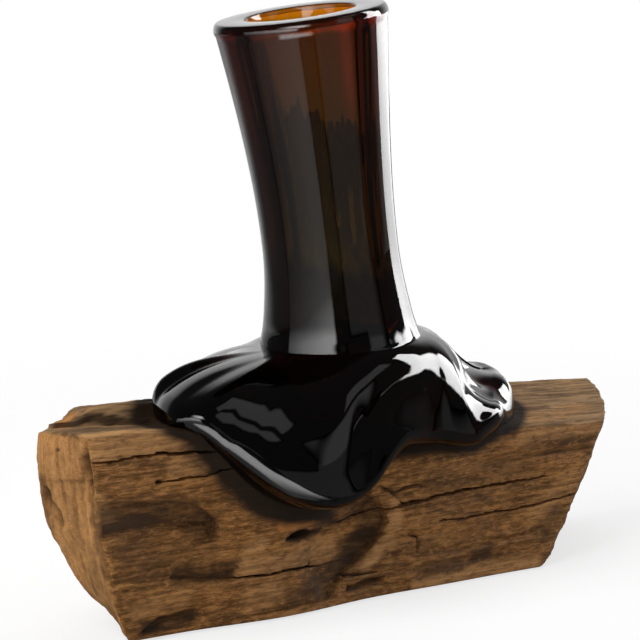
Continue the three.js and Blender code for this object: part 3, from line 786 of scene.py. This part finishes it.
def wall_rings():
    below_rim = 1 - RIM_ARRIS_HEIGHT / NECK_LENGTH
    return [neck_ring(share, through(NECK_RADII, share))
            for share in np.linspace(below_rim, 0, ROWS["wall"])[1:]]


inside = [*bore_rings(), *rim_rings()]
wall = wall_rings()
print("neck:", len(inside), "rings inside and over the rim,", len(wall), "down the wall")

# %% [markdown]
# ## The foot
# In every direction the glass leaves the root of the neck as a soft shoulder and ends in a
# rolled lip. Each line down the foot is one curve for the shoulder and a quarter of an
# ellipse for the lip, square to the wood, so the surface has no seam between the two.

# %% Lines down the foot
# All by direction in degrees: the lip's height, and the shoulder's slope as it leaves the neck.
LIP_HEIGHT = [
    (-180, 12), (-170, 12), (-164, 9), (-158.5, 7), (-151, 12), (-141.5, 18.5), (-132, 22.5),
    (-122, 24), (-112, 22.5), (-100, 19.5), (-88, 16), (-76, 13), (-62, 11), (-45, 11.5),
    (-28, 13.5), (-12, 16), (5, 17), (20, 12), (60, 9), (105, 11), (150, 10),
]
SHOULDER_SLOPE = [
    (-180, -2), (-155, -8), (-135, -20), (-110, -24), (-75, -30), (-40, -8), (-5, 8), (30, 0),
    (80, -20), (130, -6), (160, 2),
]
# How far round the roll goes on its inner side, in degrees: 0 is a plain rounded edge.
BEAD = [
    (-180, -30), (-164, -20), (-155, -6), (-141, -4), (-125, -2), (-110, 4), (-92, 6),
    (-70, 2), (-40, 2), (-15, 4), (10, 4), (40, 2), (90, 14), (140, -14),
]
# Dents and rolls: direction and share of the way down, twice, then half width and depth.
DENTS = [
    (-25, 0.45, -22, 0.85, 8, 4.5), (-10, 0.6, -12, 0.85, 8, -2),
    (70, 0.3, 75, 0.8, 10, 3),
]
ROLL_LIMIT = 9.5
SHOULDER_STEPS = 8
LIP_STEPS = 4
STEPS = SHOULDER_STEPS + LIP_STEPS
ROLL_SHARE = 0.9
SHOULDER_PULL = 0.36
LIP_PULL = 0.3
DENT_GRID = 5
print("the lip has", len(LIP_HEIGHT), "stations round the foot")


# %% From the neck down to the wood
def pool_edge(degrees):
    here = pool(degrees)
    along = unit(pool(degrees + 4) - pool(degrees - 4))
    square = np.stack([along[..., 1], -along[..., 0]], -1)
    spoke = unit(unit(here) + square)
    point, _, soft_out, away = on_wood(NECK_AT + here[..., 0], MIDDLE + here[..., 1])
    outward = away * np.abs(spoke[..., 1:]) * np.sign(spoke[..., 1:] * here[..., 1:])
    outward[..., 0] += spoke[..., 0]
    return point, soft_out, outward


def foot_rows(degrees, places):
    """Points of the foot at places from 0, the root of the neck, to STEPS, the wood."""
    edge, normal, outward = pool_edge(degrees)
    lip = around(LIP_HEIGHT, degrees)[:, None]
    roll = np.minimum(lip * ROLL_SHARE, ROLL_LIMIT)
    bead = np.radians(around(BEAD, degrees))[:, None]
    middle = edge - outward * roll
    crown = middle + normal * lip * np.cos(bead) - outward * roll * np.sin(bead)
    rising = unit(outward * roll * np.cos(bead) + normal * lip * np.sin(bead))
    angle = np.radians(degrees)
    slope = np.radians(around(SHOULDER_SLOPE, degrees))
    root = np.array([NECK_AT, MIDDLE, ROOT_HEIGHT]) + NECK_ROOT_RADIUS * spokes(angle, ROOT_TILT)
    leave = np.stack([np.cos(angle) * np.cos(slope), np.sin(angle) * np.cos(slope),
                      np.sin(slope)], 1)
    span = np.linalg.norm(crown - root, axis=1, keepdims=True)
    first = root + leave * span * SHOULDER_PULL
    second = crown - rising * span * LIP_PULL
    rows = []
    for place in places:
        t = place / SHOULDER_STEPS
        if t <= 1:
            row = (1 - t) ** 3 * root + 3 * (1 - t) ** 2 * t * first
            rows.append(row + 3 * (1 - t) * t * t * second + t ** 3 * crown)
            continue
        turn = blend(-bead, np.pi / 2, (place - SHOULDER_STEPS) / LIP_STEPS)
        rows.append(middle + outward * roll * np.sin(turn) + normal * lip * np.cos(turn))
    return np.array(rows)


print("the foot reaches", round(float(np.abs(pool(DEGREES)).max()), 1), "mm along the block")


# %% Dents and rolls in the foot
def dent_ends(direction, share):
    place = round(share * (STEPS - 1)) + 1
    return foot_rows(np.array([float(round(direction / DENT_GRID) * DENT_GRID)]), [place])[0, 0]


def dented(rows, places):
    around_it = np.roll(rows, -1, axis=1) - np.roll(rows, 1, axis=1)
    downhill = np.gradient(rows, axis=0)
    normal = unit(np.cross(around_it, downhill))
    fade = np.clip((STEPS + 1 - np.array(places)) / LIP_STEPS, 0, 1)[:, None, None]
    moved = rows.copy()
    for start, start_share, end, end_share, half_width, depth in DENTS:
        a = dent_ends(start, start_share)
        b = dent_ends(end, end_share)
        share = np.clip(((rows - a) @ (b - a)) / ((b - a) @ (b - a)), 0, 1)[..., None]
        away = np.linalg.norm(rows - (a + (b - a) * share), axis=-1, keepdims=True)
        moved += normal * depth * fade * np.exp(-(away / half_width) ** 2)
    return moved


places = np.concatenate([np.linspace(0, SHOULDER_STEPS, ROWS["shoulder"])[1:],
                         np.linspace(SHOULDER_STEPS, STEPS, ROWS["lip"])[1:-1]])
foot = dented(foot_rows(DEGREES, places), places)
print("foot:", foot.shape[0], "rows of", foot.shape[1], "points")

# %% [markdown]
# ## Its underside
# The soft glass took the wood's shape, over the edge and down the front. The underside is
# the pool's outline drawn in towards the neck on the unrolled wood, a hair off the wood,
# so the vase sits down on the block and can be lifted straight off it.

# %% Rings under the foot
SEAT_CLEARANCE = 0.4


def seat_ring(share):
    here = pool(DEGREES) * share
    point, out, _, _ = on_wood(NECK_AT + here[:, 0], MIDDLE + here[:, 1])
    return point + out * SEAT_CLEARANCE


def loft(rings, first, last):
    """One closed skin through rings of equal count, with a single point at each end."""
    count = len(rings[0])
    points = np.concatenate([[first], *rings, [last]])
    here = np.arange(count)
    after = (here + 1) % count
    faces = [[0, 1 + i, 1 + j] for i, j in zip(here, after)]
    for ring in range(len(rings) - 1):
        low = 1 + ring * count
        high = low + count
        faces += np.stack([low + here, high + here, high + after, low + after], 1).tolist()
    end = 1 + (len(rings) - 1) * count
    faces += [[len(points) - 1, end + j, end + i] for i, j in zip(here, after)]
    return points, faces


SEAT_ROWS = 40
seat = [seat_ring(share) for share in np.linspace(1, 0, SEAT_ROWS + 1)[:-1]]
bore_end = neck_ring(0, 0, FOOT_THICKNESS - BORE_FLOOR)[0]
glass_points, glass_faces = loft([*inside, *wall, *foot, *seat], bore_end, seat_ring(0)[0])
print("glass:", len(glass_points), "points from the bore's floor to the seat")

# %% Marks for the smoke in the glass
# Distances in millimetres, where the smoke begins and is full.
MOUTH_SMOKES = (3, 13)
SMOKE_DEEPENS = (13, 80)
FOOT_SMOKES = (44, 62)
from_axis = np.hypot(glass_points[:, 0] - NECK_AT, glass_points[:, 1] - MIDDLE)
from_mouth = glass_points[:, 2].max() - glass_points[:, 2]
number = np.arange(len(glass_points)) - 1
outside = number >= len(inside) * COLUMNS
smoke = step(from_mouth, *MOUTH_SMOKES) * (0.92 + 0.08 * step(from_mouth, *SMOKE_DEEPENS))
# One streak down the neck's front is left clearer, and shows the amber behind it.
streak = np.exp(-((DEGREES[number % COLUMNS] + 95) / 4) ** 2) * (1 - step(from_mouth, 22, 60))
vase = make_piece("blown_vase", glass_points, glass_faces, "vase", "glass_vase",
                  {"foot": step(from_axis, *FOOT_SMOKES),
                   "neck": smoke * outside * (1 - 0.8 * streak)})

# %% [markdown]
# ## Shader sums
# A finish is a page of sums on numbers that change over the surface. Wrapping a socket in
# a small class lets those sums be written as sums. Each sign adds a Math node, and colours
# and vectors go through Mix and Vector Math, which keep all three of their parts.

# %% Sockets that can be added and multiplied
class Value:
    """The output of a shader node, ready for sums."""

    def __init__(self, page, socket):
        self.page = page
        self.socket = socket

    def __add__(self, other):
        return self.page.math("ADD", self, other)

    def __sub__(self, other):
        return self.page.math("SUBTRACT", self, other)

    def __rsub__(self, other):
        return self.page.math("SUBTRACT", other, self)

    def __mul__(self, other):
        return self.page.math("MULTIPLY", self, other)

    __radd__ = __add__
    __rmul__ = __mul__


print("sums on sockets are ready")


# %% A page of shader nodes
class Page:
    """The node tree of one material or of the world."""

    def __init__(self, owner):
        owner.use_nodes = True
        self.tree = owner.node_tree
        self.tree.nodes.clear()

    def node(self, kind, settings=(), inputs=(), output=0):
        """A new node: kind is its type without the word ShaderNode that all of them have."""
        made = self.tree.nodes.new("ShaderNode" + kind)
        for name, value in dict(settings).items():
            setattr(made, name, value)
        for name, value in dict(inputs).items():
            if isinstance(value, Value):
                self.tree.links.new(value.socket, made.inputs[name])
            else:
                made.inputs[name].default_value = value
        return Value(self, made.outputs[output]) if made.outputs else made

    def math(self, operation, a, b=0.0):
        return self.node("Math", {"operation": operation}, {0: a, 1: b})

    def between(self, value, low, high):
        """0 below low, 1 above high and a soft step between them."""
        return self.node("MapRange", {"interpolation_type": "SMOOTHSTEP"},
                         {"Value": value, "From Min": low, "From Max": high})

    def mix(self, share, a, b):
        """One colour laid over another. The numbers are the Mix node's own for its colours."""
        a, b = ((*c, 1) if isinstance(c, tuple) else c for c in (a, b))
        return self.node("Mix", {"data_type": "RGBA"}, {0: share, 6: a, 7: b}, 2)

    def stretched(self, sizes):
        """The surface's own coordinates, measured in lumps of these sizes in millimetres."""
        place = self.node("TexCoord", output="Object")
        scale = tuple(1 / (size * MM) for size in sizes)
        return self.node("VectorMath", {"operation": "MULTIPLY"},
                         {0: place, 1: scale})

    def grain(self, sizes, detail=4.0, roughness=0.55, twist=0.0):
        return self.node("TexNoise", {}, {
            "Vector": self.stretched(sizes), "Scale": 1.0, "Detail": detail,
            "Roughness": roughness, "Distortion": twist})

    def mark(self, name):
        return self.node("Attribute", {"attribute_name": name}, output="Fac")

    def ray(self, kind):
        return self.node("LightPath", output=f"Is {kind} Ray")


def finish(piece, material):
    piece.data.materials.clear()
    piece.data.materials.append(material)
    print(piece.name, "finished as", material.name, "with",
          len(material.node_tree.nodes), "nodes")


# %% [markdown]
# ## Weathered hardwood
# Old wood is not one brown. The grain runs in pale and dark lines a millimetre apart, soft
# parts go grey-brown, the ends are paler where they broke, and the wood is charred black
# where the hot glass lay. Shade is painted into the colour too: in the pits, under the
# ledges, inside the cracks and along part of the stain strokes.

# %% The wood's finish
def weathered_wood():
    material = bpy.data.materials.new("weathered hardwood")
    page = Page(material)
    end = page.mark("end")
    bands = page.grain((90, 9, 7), 3, 0.5, 0.5)
    lines = page.grain((34, 2.4, 1.9), 5, 0.62, 0.5) * (1 - end)
    lines = lines + page.grain((9, 3.0, 26), 5, 0.6, 0.3) * end
    fine = page.grain((7, 0.7, 0.55), 4, 0.65)
    clouds = page.grain((30, 15, 12), 4, 0.6, 0.8)
    mottle = page.grain((4.4, 2.0, 1.7), 4, 0.6, 0.5)
    brown = page.mix(page.between(lines, 0.36, 0.64), (0.104, 0.043, 0.009), (0.32, 0.142, 0.04))
    stripes = page.between(lines, 0.35, 0.65)
    pale = page.mix(stripes, (0.3, 0.146, 0.052), (0.53, 0.282, 0.108))
    grey = page.mix(stripes, (0.112, 0.068, 0.035), (0.343, 0.217, 0.109))
    # dirt_and_shade carries stains and painted shade alike, broken up by clouds.
    dirt_and_shade = page.mark("stain_and_shade") * (0.55 + 0.6 * page.between(clouds, 0.35, 0.6))
    in_crack = page.mark("crack_half") - page.math("ABSOLUTE", page.mark("crack_side"))
    burn = page.mark("scorch") + (clouds - 0.5) * 0.7
    # Coats over the brown, the first at the bottom: how strongly each covers, and its colour.
    coats = [
        (page.between(bands, 0.42, 0.68) * 0.55, (0.39, 0.18, 0.05)),
        (page.between(clouds, 0.5, 0.72) * 0.6, (0.095, 0.042, 0.012)),
        (page.between(mottle, 0.53, 0.66) * 0.6, (0.41, 0.2, 0.062)),
        (page.between(mottle, 0.5, 0.36) * 0.6, (0.07, 0.028, 0.006)),
        (page.between(fine, 0.48, 0.64) * 0.65, (0.062, 0.026, 0.005)),
        (page.mark("left") * 0.45, pale),
        (page.mark("top") * 0.75, grey),
        (page.mark("pale") * page.between(mottle, 0.2, 0.5), pale),
        (page.mark("glowing"), (0.475, 0.188, 0.042)),
        (page.math("MINIMUM", dirt_and_shade, 0.93), (0.032, 0.016, 0.007)),
        # Painted shade in the pits, under the ledges, on the left end and at the top's riser.
        (page.mark("painted_shade") * 0.85, (0.017, 0.008, 0.003)),
        # Painted shade inside the cracks.
        (page.between(in_crack, -0.12, 0.1), (0.008, 0.004, 0.002)),
        (page.between(burn, 0.15, 0.7), (0.013, 0.007, 0.003)),
    ]
    for share, colour in coats:
        brown = page.mix(share, brown, colour)
    relief = lines * 0.5 + fine * 0.35 + mottle * 0.25
    bump = page.node("Bump", {}, {
        "Strength": 0.9, "Distance": 0.7 * MM, "Height": relief})
    surface = page.node("BsdfPrincipled", {}, {
        "Base Color": brown, "Roughness": 0.72 + 0.2 * fine, "Normal": bump,
        "Specular IOR Level": 0.12})
    page.node("OutputMaterial", {}, {"Surface": surface})
    return material


finish(block, weathered_wood())

# %% [markdown]
# ## Amber glass
# One wall of the mouth glows orange and two walls are nearly black. Light gathers such a
# colour on its way, so it belongs to the volume and not to the surface. The real neck and
# foot are darker than their walls explain, so their outside is smoked as well: the base
# colour of clear glass tints what passes, and it follows two marks. Faint ripples bend
# what is seen in it.

# %% The glass's finish
CLEAR = (1, 1, 1)
SMOKED_NECK = (0.09, 0.36, 0.14)
SMOKED_FOOT = (0.1, 0.07, 0.04)
AMBER = (0.92, 0.775, 0.256, 1)


def amber_glass():
    material = bpy.data.materials.new("amber glass")
    page = Page(material)
    bump = page.node("Bump", {}, {
        "Strength": 0.15, "Distance": 0.4 * MM, "Height": page.grain((30, 30, 60), 2, 0.5)})
    smoked = page.mix(page.mark("neck"), CLEAR, SMOKED_NECK)
    smoked = page.mix(page.mark("foot"), smoked, SMOKED_FOOT)
    surface = page.node("BsdfPrincipled", {}, {
        "Base Color": smoked, "Roughness": 0.0, "IOR": 1.5,
        "Transmission Weight": 1.0, "Normal": bump})
    depth = page.node("VolumeAbsorption", {}, {"Color": AMBER, "Density": 600.0})
    page.node("OutputMaterial", {}, {"Surface": surface, "Volume": depth})
    return material


finish(vase, amber_glass())

# %% [markdown]
# ## The table and the backdrop
# The object stands on a plain white table that runs on behind it. The floor catches the
# soft shadow. Behind the object the world is white for whatever looks at it, straight or
# through the glass, where it comes in softly above the horizon. The front half of the room
# is dark to mirrors, which is what keeps black glass black.

# %% The floor
ROOM = 3.0
VIEW_TURN = math.radians(34.2)
WHITE = (1, 1, 1, 1)
TABLE_GREY = 0.9
MIRRORED_TABLE_GREY = 0.12
BACKDROP_LIGHT = 1.0


def how_far_back(page, place):
    backward = (math.sin(VIEW_TURN), math.cos(VIEW_TURN), 0)
    return page.node("VectorMath", {"operation": "DOT_PRODUCT"},
                     {0: place, 1: backward}, "Value")


def make_floor():
    corners = [(-ROOM, -ROOM, 0), (ROOM, -ROOM, 0), (ROOM, ROOM, 0), (-ROOM, ROOM, 0)]
    floor = into_scene("floor", new_mesh("floor", corners, [(0, 1, 2, 3)]))
    material = bpy.data.materials.new("white table")
    page = Page(material)
    place = page.node("TexCoord", output="Object")
    away = page.node("VectorMath", {"operation": "LENGTH"}, {0: place}, "Value")
    behind = how_far_back(page, place)
    in_front = (page.ray("Glossy") * (1 - page.between(behind, 0.3, 0.9))
                + page.ray("Transmission") * (1 - page.between(behind, 0.6, 1.3)))
    pale, dark = (page.node("BsdfDiffuse", {}, {"Color": (grey, grey, grey, 1)})
                  for grey in (TABLE_GREY, MIRRORED_TABLE_GREY))
    paint = page.node("MixShader", {}, {0: in_front, 1: pale, 2: dark})
    light = page.node("Emission", {}, {"Color": WHITE, "Strength": BACKDROP_LIGHT})
    white = page.ray("Camera") * (0.72 + 0.28 * page.between(away, 0.22, 0.7))
    surface = page.node("MixShader", {}, {0: white, 1: paint, 2: light})
    page.node("OutputMaterial", {}, {"Surface": surface})
    floor.data.materials.append(material)
    print("the floor is", 2 * ROOM, "m wide")


make_floor()

# %% The world around
ROOM_LIGHT = 0.28
FRONT_LIGHT = 0.02


def light_world():
    world = bpy.data.worlds.new("studio")
    bpy.context.scene.world = world
    page = Page(world)
    mirrored = page.ray("Glossy")
    through_glass = page.ray("Transmission")
    direction = page.node("TexCoord", output="Generated")
    upward = page.node("SeparateXYZ", {}, {0: direction}, "Z")
    sweep = (page.between(how_far_back(page, direction), 0.55, 0.9)
             * (1 - page.between(upward, 0.5, 0.95)))
    dawn = mirrored + through_glass * page.between(upward, 0.0, 0.4)
    share = page.math("MAXIMUM", page.ray("Camera"), dawn * (0.04 + 0.96 * sweep))
    plain, dim, dark = (page.node("Background", {}, {"Color": WHITE, "Strength": light})
                        for light in (BACKDROP_LIGHT, ROOM_LIGHT, FRONT_LIGHT))
    room = page.node("MixShader", {}, {0: mirrored + through_glass, 1: dim, 2: dark})
    mixed = page.node("MixShader", {}, {0: share, 1: room, 2: plain})
    page.node("OutputWorld", {}, {"Surface": mixed})


light_world()
print("the world is lit at", BACKDROP_LIGHT, "behind and", ROOM_LIGHT, "around")

# %% [markdown]
# ## Lights
# Polished glass shows its lights as clearly as itself: each bright patch on the real vase
# is a lamp or a window. They are built as lit cards that only polished surfaces see. One
# stands left of the camera and runs on over the table, one above it, a dim one on the right
# and a bright strip behind on the right, which draws the edge down the neck. How bright a
# card is, is a mark on its points, so it can fade and bend like a real reflection. The wood
# takes its light from two plain softboxes, at which a colour renders about as written.

# %% Directions round the object
def direction_from(turn, rise):
    """Unit vector from the object. turn is counted to the right from the camera's side."""
    angle = math.radians(turn)
    back = Vector((-math.sin(VIEW_TURN), -math.cos(VIEW_TURN), 0))
    right = Vector((math.cos(VIEW_TURN), -math.sin(VIEW_TURN), 0))
    flat = back * math.cos(angle) + right * math.sin(angle)
    up = math.radians(rise)
    return flat * math.cos(up) + Vector((0, 0, math.sin(up)))


AIM = Vector((0, 0, 0.10))
print("the camera's side lies towards", np.round(direction_from(0, 0), 2))

# %% Lit cards
CARD_AWAY = 1.5
CARD_CELL = 1.0
TABLE_GAP = 0.002


def card_away(rise):
    """Far off, or so near that a card which would hang below the table lies on it."""
    fall = math.sin(math.radians(-rise))
    return min(CARD_AWAY, (AIM.z - TABLE_GAP) / max(fall, 1e-3))


def card(name, turns, rises, glow, strength):
    """A lit card that only polished surfaces show, over a span of turn and of rise.

    glow tells how bright it is at a turn and a rise, from 0 to 1 of its strength.
    """
    across = np.arange(turns[0], turns[1] + CARD_CELL, CARD_CELL)
    up = np.arange(rises[0], rises[1] + CARD_CELL, CARD_CELL)
    turn, rise = np.meshgrid(across, up, indexing="ij")
    points = [AIM + direction_from(t, r) * card_away(r) for t, r in zip(turn.ravel(), rise.ravel())]
    faces = quads(np.arange(turn.size).reshape(turn.shape))
    shine = np.clip(glow(turn, rise), 0, 1)
    lit = shine.ravel()[faces].max(1) > 0
    piece = into_scene(name, new_mesh(name, points, faces[lit].tolist(), {"glow": shine}))
    for rays in ("camera", "diffuse", "transmission", "shadow"):
        setattr(piece, "visible_" + rays, False)
    material = bpy.data.materials.new(name)
    page = Page(material)
    light = page.node("BsdfPrincipled", {}, {
        "Base Color": (0, 0, 0, 1), "Specular IOR Level": 0.0,
        "Emission Color": page.mix(page.mark("glow"), (0, 0, 0), (1, 1, 1)),
        "Emission Strength": strength})
    page.node("OutputMaterial", {}, {"Surface": light})
    piece.data.materials.append(material)
    print(name, "strength", strength)


# %% How bright each card is, by turn and rise in degrees
def left_glow(turn, rise):
    sides = window(turn, -80, -77, -8, -4) * np.interp(turn, [-75, -20], [0.3, 1])
    climb = np.interp(rise, [-30, -10, -6, -3, 0, 8, 13], [0.1, 0.15, 0.17, 0.2, 0.42, 1, 1])
    low = 0.05 * window(turn, -78, -68, -9, -4) * step(rise, -40, -26)
    top = 1 - step(rise + 0.004 * (turn + 38) ** 2, 15.5, 17.5)
    table = window(turn, -36, -27, 8, 20) * window(rise, -52, -26, -18, -13)
    return np.maximum(np.maximum(climb * sides, low) * top, table)


def high_glow(turn, rise):
    return window(turn, -40, -10, -2, 10) * window(rise, 14, 24, 28, 40)


def right_glow(turn, rise):
    ledge = 8 + (turn > 42) * 8
    low = 0.45 * window(turn, 14, 20, 62, 76) * (1 - step(rise, ledge, ledge + 4))
    middle = window(turn, 42, 46, 64, 72) * window(rise, 12, 15, 38, 41)
    high = window(turn, 48, 52, 86, 92) * window(rise, 43, 45, 55, 58)
    return np.maximum.reduce([low, middle, high])


def strip_glow(turn, rise):
    lower = np.interp(turn, [84, 89, 94, 104, 116, 122], [16, 13.5, 12, 12, 8, -14])
    upper = np.interp(turn, [73, 91, 95, 100, 112, 114, 124, 128, 160],
                      [15.5, 15.5, 24, 50, 50, 29, 27, 6, 6])
    climb = np.interp(rise, [-14, -4, 3, 9], [0.16, 0.3, 0.65, 1])
    shape = window(rise, lower - 0.5, lower + 0.5, upper - 1, upper + 1)
    return climb * shape * (1 - 0.5 * step(turn, 118, 150))


card("left box", (-82, 21), (-52, 18), left_glow, 5)
card("high box", (-40, 11), (10, 41), high_glow, 9)
card("right card", (12, 92), (-30, 58), right_glow, 0.6)
card("right strip", (73, 160), (-14, 52), strip_glow, 13)


# %% Softboxes
def softbox(name, turn, rise, away, wide, tall, brightness):
    lamp = bpy.data.lights.new(name, "AREA")
    lamp.shape = "RECTANGLE"
    lamp.size = wide
    lamp.size_y = tall
    lamp.energy = brightness * math.pi * wide * tall
    box = into_scene(name, lamp)
    toward = direction_from(turn, rise)
    box.location = AIM + toward * away
    box.rotation_euler = toward.to_track_quat("Z", "Y").to_euler()
    for rays in ("camera", "glossy", "transmission"):
        setattr(box, "visible_" + rays, False)
    print(name, "brightness", brightness)


softbox("key", -50, 42, away=1.6, wide=1.2, tall=1.2, brightness=5.0)
softbox("top", 150, 70, away=1.4, wide=1.2, tall=0.8, brightness=3.0)

# %% [markdown]
# ## The camera
# It looks a little down on the object, from the front and left, through a long lens, so
# the block's far end is hardly smaller than its near one.

# %% Camera
CAMERA_SPOT = np.array([-410.7, -738.3, 263.8])
VIEW_DROP = math.radians(9)
LONG_LENS = 123.75


def place_camera():
    lens = bpy.data.cameras.new("camera")
    lens.lens = LONG_LENS
    lens.sensor_width = 36
    camera = into_scene("camera", lens)
    camera.location = ((CAMERA_SPOT + CORNER) * MM).tolist()
    camera.rotation_euler = (math.radians(90) - VIEW_DROP, 0, -VIEW_TURN)
    bpy.context.scene.camera = camera


place_camera()
bpy.context.scene.view_settings.view_transform = "Standard"
print("the lens is", LONG_LENS, "mm long")

# %% [markdown]
# ## Last look at the sizes
# The visual model has to stay inside the box of the imported model, or the two would not
# lie on each other. The imported model's box is printed here; each piece printed its own size when it
# was made.

# %% Sizes against the imported model
print("packed box:", [[round(c, 4) for c in v] for v in cad_box])
